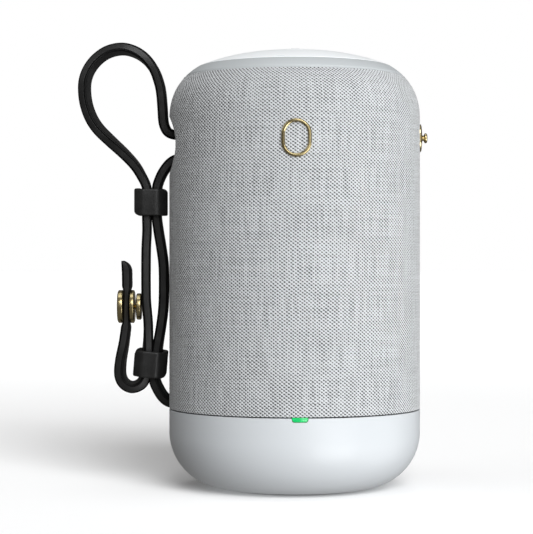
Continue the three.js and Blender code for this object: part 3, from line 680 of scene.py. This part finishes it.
def make_keeper(name, node, body, tilt, lean, skew, slot_right):
    """A leather keeper: a rounded loop round two strands, with softened and uneven ends.

    The front wall is a little shorter than the back, and skew says which ends are worn back:
    +1 the upper right and lower left, -1 the upper left and lower right. The slot reaches
    slot_right from the centre on its right, where the strands bow apart as the keeper slides.
    """
    low, high = cad_box(node)
    centre = (low + high) / 2
    steps = 144
    outer = resample(rounded(KEEPER_OUTLINE, closed=True, steps=8), steps)
    slot_left, slot_y = -3.9, 2.95
    corners = [(slot_left, -slot_y, 0.5), (slot_right, -slot_y, 0.5),
               (slot_right, slot_y, 0.5), (slot_left, slot_y, 0.5)]
    slot = resample(rounded(corners, closed=True, steps=4), steps)
    rings = []
    for a, b in zip(outer, slot):
        depth = (b - a).length
        direction = (b - a) / depth
        over = max(0, abs(a.x) - (KEEPER_SIDE - WORN_REACH)) / WORN_REACH
        worn = WORN_DROP * (1 - math.sqrt(max(0, 1 - over * over)))
        front = 0.45 * smoothstep(0.5, -4.0, a.y)
        side = skew if a.x > 0 else -skew
        top = KEEPER_HALF - front - (worn if side > 0 else 0)
        bottom = -KEEPER_HALF + (worn if side < 0 else 0)
        wall = rounded([(depth * 0.8, bottom, 0), (0, bottom, 0.8), (0, top, 0.8),
                        (depth * 0.8, top, 0)], steps=5)
        ring = [(*(a + direction * t), z) for t, z in wall]
        inner = [(*b, top - 0.3), (*b, top * 0.5), (*b, bottom * 0.5), (*b, bottom + 0.3)]
        rings.append([Vector(p) for p in ring + inner])
    keeper = sweep(name, rings, closed=True, smooth_angle=50)
    turn = Matrix.Rotation(math.radians(tilt), 4, "Y") @ Matrix.Rotation(math.radians(lean), 4, "X")
    place(keeper, Matrix.Translation(centre * MM) @ turn)
    return finish_piece(keeper, "black_leather", body, [node])


SNAP_LOW, SNAP_HIGH = cad_box("snap_socket_outer")
SNAP_Z = (SNAP_LOW.z + SNAP_HIGH.z) / 2


def make_snap():
    """Both halves of the brass snap, turned pieces with bevelled rims."""
    outer = lathe("snap_cap", rounded([
        (0, -0.3, 0), (3.4, -0.2, 0.4), (6.05, -0.05, 0.3), (6.6, 0.4, 0.25), (6.6, 1.9, 0.2),
        (6.2, 2.15, 0.15), (0, 2.15, 0),
    ]), 96)
    place(outer, along_x((SNAP_LOW.x + 0.1, 0, SNAP_Z)))
    finish_piece(outer, "brass_metal", replaces=["snap_socket_outer"])
    inner_low, _ = cad_box("snap_socket_inner")
    inner = lathe("snap_socket", rounded([
        (1.25, -0.25, 0), (6.3, -0.25, 0.2), (6.6, 0.0, 0.15), (6.6, 1.2, 0.2),
        (6.1, 1.5, 0.2), (3.0, 1.5, 0.3), (2.6, 1.25, 0.2), (1.25, 1.25, 0.2),
    ], closed=True), 96, closed=True)
    place(inner, along_x((inner_low.x, 0, SNAP_Z)))
    finish_piece(inner, "brass_metal", replaces=["snap_socket_inner"])
    _, stud_high = cad_box("snap_stud")
    stud_face = stud_high.x - 1.8
    stud = lathe("snap_post", rounded([
        (0, -1.9, 0), (0.9, -1.9, 0.3), (0.75, -0.9, 0.2), (0.95, 0, 0.2), (4.9, 0.05, 0.2),
        (5.3, 0.4, 0.2), (5.3, 1.7, 0.2), (4.9, 2.0, 0.15), (0, 2.0, 0),
    ]), 96)
    place(stud, along_x((stud_face, 0, SNAP_Z)))
    finish_piece(stud, "brass_metal", replaces=["snap_stud"])
    return [outer, inner, stud]


def make_strap_group():
    """The strap with its keepers, snap and bar."""
    strap, path, length = make_strap()
    upper = make_keeper("keeper_upper", "upper_keeper", "upper_slider", 0, 0, 1, 5.5)
    lower = make_keeper("keeper_lower", "lower_keeper", "lower_slider", 5, 5, -1, 4.5)
    snaps = make_snap()
    make_bar()


def make_bar():
    """The strap's bar: a turned pin whose ends step down where they enter the recess."""
    radius, neck, end = BAR_HIGH.z - BAR.z, 1.1, BAR_HIGH.y
    step_start, step_end = 9.5, 9.9
    bar = lathe("strap_pin", rounded([
        (0, -end, 0), (neck, -end, 0.2), (neck, -step_end, 0.1), (radius, -step_start, 0.3),
        (radius, step_start, 0.3), (neck, step_end, 0.1), (neck, end, 0.2), (0, end, 0),
    ]), 48)
    along_y = Matrix.Rotation(math.radians(-90), 4, "X")
    place(bar, Matrix.Translation(BAR * MM) @ along_y)
    finish_piece(bar, "steel_metal", replaces=["strap_bar"])


# ---------------------------------------------------------------- base
def led_outline(grow):
    """The light's half-pill outline about its own centre line, hanging from z = 0."""
    width, drop = LED_HALF + grow, LED_DROP + grow
    return rounded([(width, 0.0, 0), (width - 0.15, -drop, 1.15), (-width + 0.15, -drop, 1.15),
                    (-width, 0.0, 0)], steps=6)


def make_base():
    """The base cup: a moulded shell with a big round corner, the light's notch and the port."""
    centre_r, centre_z = BODY_R - CORNER_R, FLOOR_Z + CORNER_R
    inner_r = CORNER_R - SHELL_WALL
    profile = rounded([(0, 1.5, 0), (26.3, 1.5, 0.3), (26.3, FLOOR_Z, 0.25), (28, FLOOR_Z, 0)])
    profile += arc(centre_r, centre_z, CORNER_R, -89, 0, 30)
    profile += rounded([(BODY_R, 26, 0), (BODY_R, RIM_Z, 0.22),
                        (BODY_R - SHELL_WALL, RIM_Z, 0.3), (BODY_R - SHELL_WALL, 26, 0)])
    profile += arc(centre_r, centre_z, inner_r, 0, -61.8, 14)
    profile += [(0, 5.5)]
    cup = lathe("base_cup", profile, 256)
    led_low, led_high = cad_box("led_lens")
    led_x = (led_low.x + led_high.x) / 2
    notch_outline = [(x + led_x, z + led_high.z) for x, z in led_outline(0.12)]
    notch_outline = [(led_x + 3.2, RIM_Z + 2), *notch_outline, (led_x - 3.2, RIM_Z + 2)]
    notch = prism_y("notch", notch_outline, -BODY_R - 3, -BODY_R + 6)
    usb_low, usb_high = cad_box("usb_socket")
    usb_z = (usb_low.z + usb_high.z) / 2
    mouth = prism_y("mouth", rounded_box(*PORT_HALF, 3, usb_z), BODY_R - 6, BODY_R + 6)
    cut(cup, notch, mouth)
    finish_piece(cup, "white_plastic", replaces=["base_shell"])
    make_led(led_x, led_high.z)
    make_port(usb_z)
    make_foot()


def make_led(led_x, led_top):
    """The lit lens: the half-pill bent to the cup's surface, with a softened front edge."""
    outline = led_outline(0.0)
    rings = []
    for depth, shrink in ((3.4, 0), (0.25, 0), (0.08, 0.06), (0.0, 0.22)):
        ring = []
        for x, z in outline:
            px = x * (1 - shrink / LED_HALF)
            pz = -0.02 + (z + LED_DROP / 2) * (1 - shrink / 0.9) - LED_DROP / 2
            wx = px + led_x
            surface = math.sqrt((BODY_R - 0.02) ** 2 - wx * wx)
            ring.append((wx, -(surface - depth), pz + led_top + 0.12))
        rings.append(ring)
    lens = sweep("status_light", rings, smooth_angle=50)
    finish_piece(lens, "green_lens", replaces=["led_lens"])


def make_port(usb_z):
    """A dark liner inside the port's mouth, and the socket's metal shell with its tongue."""
    outer = resample(rounded_box(6.4, 3.5, 2.9), 80)
    inner = resample(rounded_box(6.0, 3.1, 2.6), 80)
    back, front = 45.3, 49.0
    rings = []
    for a, b in zip(outer, inner):
        rings.append([(a.x, back, a.y + usb_z), (a.x, front, a.y + usb_z),
                      (b.x, front, b.y + usb_z), (b.x, back + 0.8, b.y + usb_z),
                      (b.x * 0.1, back + 0.8, b.y * 0.1 + usb_z),
                      (b.x * 0.1, back, b.y * 0.1 + usb_z)])
    liner = sweep("port_liner", rings, closed=True, smooth_angle=30)
    finish_piece(liner, "dark_plastic")
    shell_outer = resample(rounded_box(4.5, 1.6, 1.5), 64)
    shell_inner = resample(rounded_box(4.15, 1.25, 1.2), 64)
    rings = []
    for a, b in zip(shell_outer, shell_inner):
        rings.append([(a.x, 38.4, a.y + usb_z), (a.x, 46.7, a.y + usb_z),
                      (b.x, 46.8, b.y + usb_z), (b.x, 38.4, b.y + usb_z)])
    shell = sweep("port_shell", rings, closed=True, smooth_angle=30)
    finish_piece(shell, "steel_metal", replaces=["usb_socket"])
    tongue = prism_y("port_tongue", rounded_box(3.3, 0.35, 0.3, usb_z), 38.6, 46.0)
    finish_piece(tongue, "dark_plastic")


def make_foot():
    """The rubber foot: a disc with a rounded edge and shallow rings moulded into its underside."""
    _, high = cad_box("foot_pad")
    edge = high.x
    profile = [(0, 0)]
    for ring in (7, 12, 17, 22):
        profile += [(ring - 0.5, 0), (ring - 0.25, 0.25), (ring + 0.25, 0.25), (ring + 0.5, 0)]
    profile += rounded([(24, 0, 0), (edge - 0.1, 0, 0.5), (edge, high.z, 0.1), (0, high.z, 0)])
    foot = lathe("foot", profile, 128)
    finish_piece(foot, "black_rubber", replaces=["foot_pad"])


# ---------------------------------------------------------------- sleeve and recess
def shoulder(inset, start_r, end_r, steps):
    """Points of the shoulder curve, moved inwards, between two radii."""
    reach, rise = BODY_R - SHOULDER_CORE - inset, SHOULDER_RISE - inset
    angles = []
    for radius in (start_r, end_r):
        share = min(1, max(0, (radius - SHOULDER_CORE) / reach))
        angles.append(math.acos(share ** (SHOULDER_POWER / 2)))
    points = []
    for i in range(steps + 1):
        a = angles[0] + (angles[1] - angles[0]) * i / steps
        points.append((SHOULDER_CORE + reach * math.cos(a) ** (2 / SHOULDER_POWER),
                       SHOULDER_Z + rise * math.sin(a) ** (2 / SHOULDER_POWER)))
    return points


def recess_share(y, z):
    """How far a point on the left side is from the recess's middle, 1 being its outline."""
    return math.hypot(y / RECESS_RY, (z - RECESS_Z) / RECESS_RZ)


def recess_depth(y, z):
    """How far the sleeve dishes in towards the strap's recess at a point on its left side."""
    return DISH_DEPTH * (1 - smoothstep(*DISH_SPAN, recess_share(y, z)))


def make_sleeve():
    """The woven sleeve, turned under at the seam and dished into the strap's recess."""
    bottom = SLEEVE_BOTTOM
    straight = [(BODY_R, bottom + 0.5 + i) for i in range(int(SHOULDER_Z - bottom))]
    profile = rounded([(BODY_R - 1.0, bottom + 0.02, 0), (BODY_R, bottom, 0.28),
                       (BODY_R, bottom + 0.6, 0)], steps=4)[:-1]
    profile += straight
    profile += shoulder(0, BODY_R, SLEEVE_TOP_R + 0.3, 26)[1:]
    profile += rounded([(SLEEVE_TOP_R + 0.3, 163.18, 0), (SLEEVE_TOP_R - 0.05, 163.42, 0.25),
                        (SLEEVE_TOP_R - 0.2, 162.6, 0)], steps=3)[1:]
    along = [0.0]
    for a, b in zip(profile, profile[1:]):
        along.append(along[-1] + math.dist(a, b))
    columns = 400
    verts, distances = [], []
    for (radius, z), distance in zip(profile, along):
        for k in range(columns):
            angle = 2 * math.pi * k / columns
            x, y = radius * math.cos(angle), radius * math.sin(angle)
            depth = recess_depth(y, z) if x < 0 else 0.0
            verts.append((x + depth, y, z))
            distances.append(distance)
    faces = []
    for i in range(len(profile) - 1):
        for k in range(columns):
            n = (k + 1) % columns
            corners = [i * columns + k, i * columns + n, (i + 1) * columns + n,
                       (i + 1) * columns + k]
            middle = sum((Vector(verts[c]) for c in corners), Vector()) / 4
            hole = recess_share(middle.y, middle.z) < HOLE_SHARE
            doorway = abs(middle.y) < DOORWAY_HALF and middle.z < DOORWAY_TOP
            if middle.x < 0 and (hole or doorway):
                continue
            faces.append(corners)
    sleeve = new_object("woven_sleeve", verts, faces, 80)
    store = sleeve.data.attributes.new("along", "FLOAT", "POINT")
    store.data.foreach_set("value", distances)
    finish_piece(sleeve, "grey_fabric", replaces=["fabric_sleeve"])


def make_recess():
    """The moulded bowl behind the strap's bar, with a rolled lip at the fabric's edge."""
    rings = []
    steps, set_back = 96, 3.2
    for share, depth in ((0.86, 0.6), (0.84, 0.0), (0.80, -0.35), (0.76, 0.0), (0.74, 0.8),
                         (0.70, 3.2), (0.62, 6.2), (0.50, 8.9), (0.36, 10.4), (0.20, 11.3),
                         (0.06, 11.6)):
        ring = []
        for k in range(steps):
            angle = 2 * math.pi * k / steps
            y = RECESS_RY * share * math.cos(angle)
            z = RECESS_Z + RECESS_RZ * share * math.sin(angle)
            surface = -math.sqrt(BODY_R ** 2 - y * y) + set_back
            ring.append((surface + depth, y, z))
        rings.append(ring)
    bowl = sweep("recess_bowl", rings, smooth_angle=60)
    finish_piece(bowl, "dark_plastic", replaces=["recess_cup"])


# ---------------------------------------------------------------- top
def cap_z(radius):
    """Height of the cap's dome at a distance from the axis."""
    share = radius / CAP_R
    return CAP_EDGE_Z + (CROWN_Z - CAP_EDGE_Z) * (1 - share ** CAP_POWER)


def make_top():
    """The shoulder ring, the cap and its four buttons."""
    ring_profile = [(47.9, 150.0)] + shoulder(1.6, 47.4, SLEEVE_TOP_R - 0.9, 8)
    ring_profile += rounded([(43.2, 161.6, 0), (43.75, 163.0, 0.2), (43.4, 163.75, 0.3)])[1:]
    ring_profile += shoulder(0, SLEEVE_TOP_R - 0.7, SEAM_R + 0.8, 14)
    ring_profile += rounded([(SEAM_R + 0.8, 167.48, 0), (SEAM_R + 0.05, 167.85, 0.35),
                             (SEAM_R, 166, 0), (32, 165.7, 0), (32, 163.2, 0)])[1:]
    ring_profile += shoulder(4.3, 33.5, 45.2, 8) + [(45.6, 150.0)]
    ring = lathe("shoulder_ring", ring_profile, 256, closed=True, smooth_angle=40)
    # The ring keeps the white plastic's slot but takes its darker copy: painted shade.
    finish_piece(ring, "white_plastic", replaces=["top_ring"], material=SHADED_RING_PLASTIC)

    steps = 26
    dome = [(r, cap_z(r)) for r in (CAP_R - 0.9 - (CAP_R - 0.9) * i / steps for i in range(steps))]
    profile = [(0, CROWN_Z - 2.4), (31.6, cap_z(31.6) - 2.2), (31.8, CAP_LOW.z)]
    profile += rounded([(31.8, CAP_LOW.z, 0), (CAP_R, CAP_LOW.z, 0.2), (CAP_R, CAP_EDGE_Z, 0.55),
                        (CAP_R - 0.9, cap_z(CAP_R - 0.9), 0)])[1:-1]
    cap = lathe("domed_cap", profile + dome + [(0, CROWN_Z)], 256)
    cutters = []
    for k in range(4):
        angle = math.radians(90 * k)
        centre = (BUTTON_RING * math.cos(angle), BUTTON_RING * math.sin(angle))
        cutters.append(rod("hole", BUTTON_R + 0.3, (*centre, 160), (*centre, 180), 96, 0.01))
    cut(cap, *cutters, smooth_angle=30)
    finish_piece(cap, "cap_plastic", replaces=["top_cap"])
    make_button("volume_up_button", "volume_up", 0, plus_icon())
    make_button("voice_button", "voice", 90, dot_icon())
    make_button("volume_down_button", "volume_down", 180, minus_icon())
    make_button("power_button", "power", 270, power_icon())


def bar_outline(length, width):
    return rounded_box(length / 2, width / 2, width * 0.45)


def plus_icon():
    half, arm, corner = 1.7, 0.3, 0.15
    return [rounded([
        (-arm, -half, corner), (arm, -half, corner), (arm, -arm, 0), (half, -arm, corner),
        (half, arm, corner), (arm, arm, 0), (arm, half, corner), (-arm, half, corner),
        (-arm, arm, 0), (-half, arm, corner), (-half, -arm, corner), (-arm, -arm, 0),
    ], closed=True)]


def minus_icon():
    return [bar_outline(3.4, 0.6)]


def dot_icon():
    return [arc(0, 0, 0.9, 0, 348, 29)]


def power_icon():
    ring = arc(0, 0, 1.7, 125, 415, 30) + arc(0, 0, 1.2, 415, 125, 30)
    bar = [(x, y + 1.2) for y, x in bar_outline(1.7, 0.5)]
    return [ring, bar]


def make_button(node, body, degrees, icon):
    """One cap button that follows the dome, with a softened rim and a slightly raised icon."""
    angle = math.radians(degrees)
    cx, cy = BUTTON_RING * math.cos(angle), BUTTON_RING * math.sin(angle)
    face = rounded([(BUTTON_R - 1.2, 0, 0), (BUTTON_R, 0, 0.45), (BUTTON_R, -1.5, 0)])
    profile = [(0, 165.1), (1.6, 165.1), (1.6, 167.9), (6, 167.9), (6, 168.8), (BUTTON_R, 168.8)]
    follow = 200  # heights from about here up are lowered onto the dome below
    top = [(r, follow + z) for r, z in reversed(face)] + [(r, follow) for r in (3, 1.5, 0)]
    button = lathe(node + "_face", profile + top, 72)
    for vertex in button.data.vertices:
        x, y, z = vertex.co / MM
        if z > follow - 10:
            dome = cap_z(math.hypot(x + cx, y + cy))
            vertex.co.z = (z - follow + dome + BUTTON_LIFT) * MM
    place(button, Matrix.Translation((cx * MM, cy * MM, 0)))
    face_outwards(button.data)
    shade(button.data, 40)
    finish_piece(button, "cap_plastic", body, [node])
    for i, outline in enumerate(icon):
        rings = []
        for lift in (-0.1, 0.06):
            ring = []
            for x, y in outline:
                wx, wy = x + cx, y + cy
                ring.append((wx, wy, cap_z(math.hypot(wx, wy)) + BUTTON_LIFT + lift))
            rings.append(ring)
        mark = sweep(f"{node}_icon_{i + 1}", rings, smooth_angle=30)
        finish_piece(mark, "cap_plastic", body, material=ICON_INK)


# ---------------------------------------------------------------- brass trim
def make_badge():
    """A plain oval ring in brass that hugs the sleeve, with a bevelled, slightly domed section."""
    low, high = cad_box("front_badge")
    centre_z = (low.z + high.z) / 2
    middle = stadium(9.9, 13.0, 40)
    section = rounded([(-0.65, 0.05, 0.05), (0.65, 0.05, 0.05), (0.65, 0.6, 0.18),
                       (0.25, 0.85, 0.25), (-0.25, 0.85, 0.25), (-0.65, 0.6, 0.18)],
                      closed=True, steps=3)
    rings = []
    count = len(middle)
    for k, (x, z) in enumerate(middle):
        before, after = Vector(middle[k - 1]), Vector(middle[(k + 1) % count])
        tangent = (after - before).normalized()
        outward = Vector((tangent.y, -tangent.x))
        ring = []
        for offset, lift in section:
            px, pz = x + outward.x * offset, z + outward.y * offset
            angle = px / BODY_R
            radius = BODY_R + lift
            ring.append((radius * math.sin(angle), -radius * math.cos(angle), centre_z + pz))
        rings.append(ring)
    badge = sweep("oval_badge", rings, closed=True, smooth_angle=40)
    finish_piece(badge, "brass_metal", replaces=["front_badge"])


def make_side_stud():
    """The oval plate and the mushroom stud on the right side."""
    low, high = cad_box("stud_plate")
    centre_z = (low.z + high.z) / 2
    rings = []
    outline = stadium(8.0, 11.2, 24)
    for scale, lift in ((1.0, -0.1), (1.0, 0.35), (0.95, 0.62), (0.85, 0.78), (0.5, 0.95),
                        (0.24, 1.0)):
        ring = []
        for y, z in outline:
            py, pz = y * scale, z * scale
            surface = math.sqrt(BODY_R ** 2 - py * py)
            ring.append((surface + lift, py, centre_z + pz))
        rings.append(ring)
    plate = sweep("stud_base", rings, smooth_angle=50)
    finish_piece(plate, "brass_metal", replaces=["stud_plate"])
    _, stud_high = cad_box("ball_stud")
    tip = stud_high.x - BODY_R
    profile = rounded([(0, -6, 0), (1.5, -6, 0.1), (1.5, 1.0, 0.1), (1.15, 1.2, 0.1),
                       (1.0, 1.6, 0.2), (2.0, 2.1, 0.35), (2.0, 2.9, 0.6), (1.2, tip, 0.4),
                       (0, tip, 0)], steps=6)
    stud = lathe("mushroom_stud", profile, 64)
    place(stud, along_x((BODY_R, 0, centre_z)))
    finish_piece(stud, "brass_metal", replaces=["ball_stud"])


# ---------------------------------------------------------------- the pieces inside
def make_spider():
    """The driver's corrugated spider, dished so that the cone clears it at full travel."""
    low, high = cad_box("driver_spider")
    inner, outer, sag, wave, half_thick = 10.6, high.x, 0.75, 0.2, 0.15
    middle = (low.z + high.z) / 2
    steps, rolls = 48, 4
    line = []
    for k in range(steps + 1):
        share = k / steps
        roll = wave * math.sin(2 * math.pi * rolls * share)
        line.append((inner + (outer - inner) * share, middle - sag * (1 - share) + roll))
    profile = [(r, z - half_thick) for r, z in line]
    profile += [(r, z + half_thick) for r, z in reversed(line)]
    spider = lathe("spider_ring", profile, 64, closed=True)
    finish_piece(spider, "cone_paper", replaces=["driver_spider"])


def finish_inner_nodes():
    """Every CAD node that is still shown gets the procedural material of its slot."""
    for entry in frame["record"]["subparts"]:
        node = frame["nodes"][entry["node"]]
        if node.hide_render:
            continue
        node.data.materials.clear()
        node.data.materials.append(MATERIALS[entry["material_slot"]])


# ---------------------------------------------------------------- studio
SOFTBOXES = {
    "key": (20, 32, 2.1),
    "low_key": (20, 10, 0.3),
    "left_fill": (-70, 32, 0.28),
    "overhead": (0, 88, 0.6),
    "front_bounce": (38, -24, 1.8),
    "right_bounce": (90, -22, 0.62),
}
FLOOR_LIGHTS = {
    "floor_key": (15, 18, 3.75),
    "floor_top": (0, 88, 0.12),
}
SOFTBOX_TINT = (0.985, 0.993, 1.0)


def soft_light(name, azimuth, elevation, strength):
    """A very large, distant softbox: azimuth runs from the front towards the right."""
    data = bpy.data.lights.new(name, "SUN")
    data.energy = strength
    data.angle = math.radians(40)
    data.color = SOFTBOX_TINT
    light = bpy.data.objects.new(name, data)
    turn, rise = math.radians(azimuth), math.radians(elevation)
    towards = Vector((math.sin(turn) * math.cos(rise), -math.cos(turn) * math.cos(rise),
                      math.sin(rise)))
    light.rotation_euler = towards.to_track_quat("Z", "Y").to_euler()
    bpy.context.scene.collection.objects.link(light)
    return light


def make_studio():
    """A pale floor that neither lights nor shades the object, a soft surround and softboxes."""
    floor_mesh = bpy.data.meshes.new("floor")
    half = 30
    floor_mesh.from_pydata([(-half, -half, 0), (half, -half, 0), (half, half, 0),
                            (-half, half, 0)], [], [(0, 1, 2, 3)])
    floor = bpy.data.objects.new("floor", floor_mesh)
    bpy.context.scene.collection.objects.link(floor)
    paper = Shader("studio_floor", (0.86, 0.86, 0.86), 0.9)
    distance = paper.node("ShaderNodeVectorMath", operation="LENGTH")
    paper.feed(distance, 0, paper.coords)
    paper.set("Emission Color", (1, 1, 1, 1))
    paper.link(paper.remap(distance.outputs["Value"], 0.4, 1.2, 0, 0.12, smooth=True),
               "Emission Strength")
    paper.bump(paper.noise(per_mm(0.5), 2), 0.01)
    paper.set("Specular IOR Level", 0.1)
    floor.data.materials.append(paper.material)
    floor.visible_diffuse = False
    floor.visible_glossy = False
    floor.visible_shadow = False

    world = bpy.data.worlds.new("studio")
    bpy.context.scene.world = world
    world.use_nodes = True
    tree = world.node_tree
    fill = tree.nodes["Background"]
    fill.inputs["Color"].default_value = (1, 0.97, 0.94, 1)
    fill.inputs["Strength"].default_value = 0.16
    backdrop = tree.nodes.new("ShaderNodeBackground")
    backdrop.inputs["Color"].default_value = (1, 1, 1, 1)
    backdrop.inputs["Strength"].default_value = 1.0
    rays = tree.nodes.new("ShaderNodeLightPath")
    choose = tree.nodes.new("ShaderNodeMixShader")
    tree.links.new(rays.outputs["Is Camera Ray"], choose.inputs[0])
    tree.links.new(fill.outputs[0], choose.inputs[1])
    tree.links.new(backdrop.outputs[0], choose.inputs[2])
    tree.links.new(choose.outputs[0], tree.nodes["World Output"].inputs["Surface"])

    for name, (azimuth, elevation, strength) in SOFTBOXES.items():
        soft_light(name, azimuth, elevation, strength)
    receivers = bpy.data.collections.new("floor_only")
    receivers.objects.link(floor)
    for name, (azimuth, elevation, strength) in FLOOR_LIGHTS.items():
        light = soft_light(name, azimuth, elevation, strength)
        light.light_linking.receiver_collection = receivers


def main():
    bpy.context.scene.view_settings.view_transform = "Standard"
    make_camera()
    make_strap_group()
    make_base()
    make_sleeve()
    make_recess()
    make_top()
    make_badge()
    make_side_stud()
    make_spider()
    finish_inner_nodes()
    make_studio()


main()
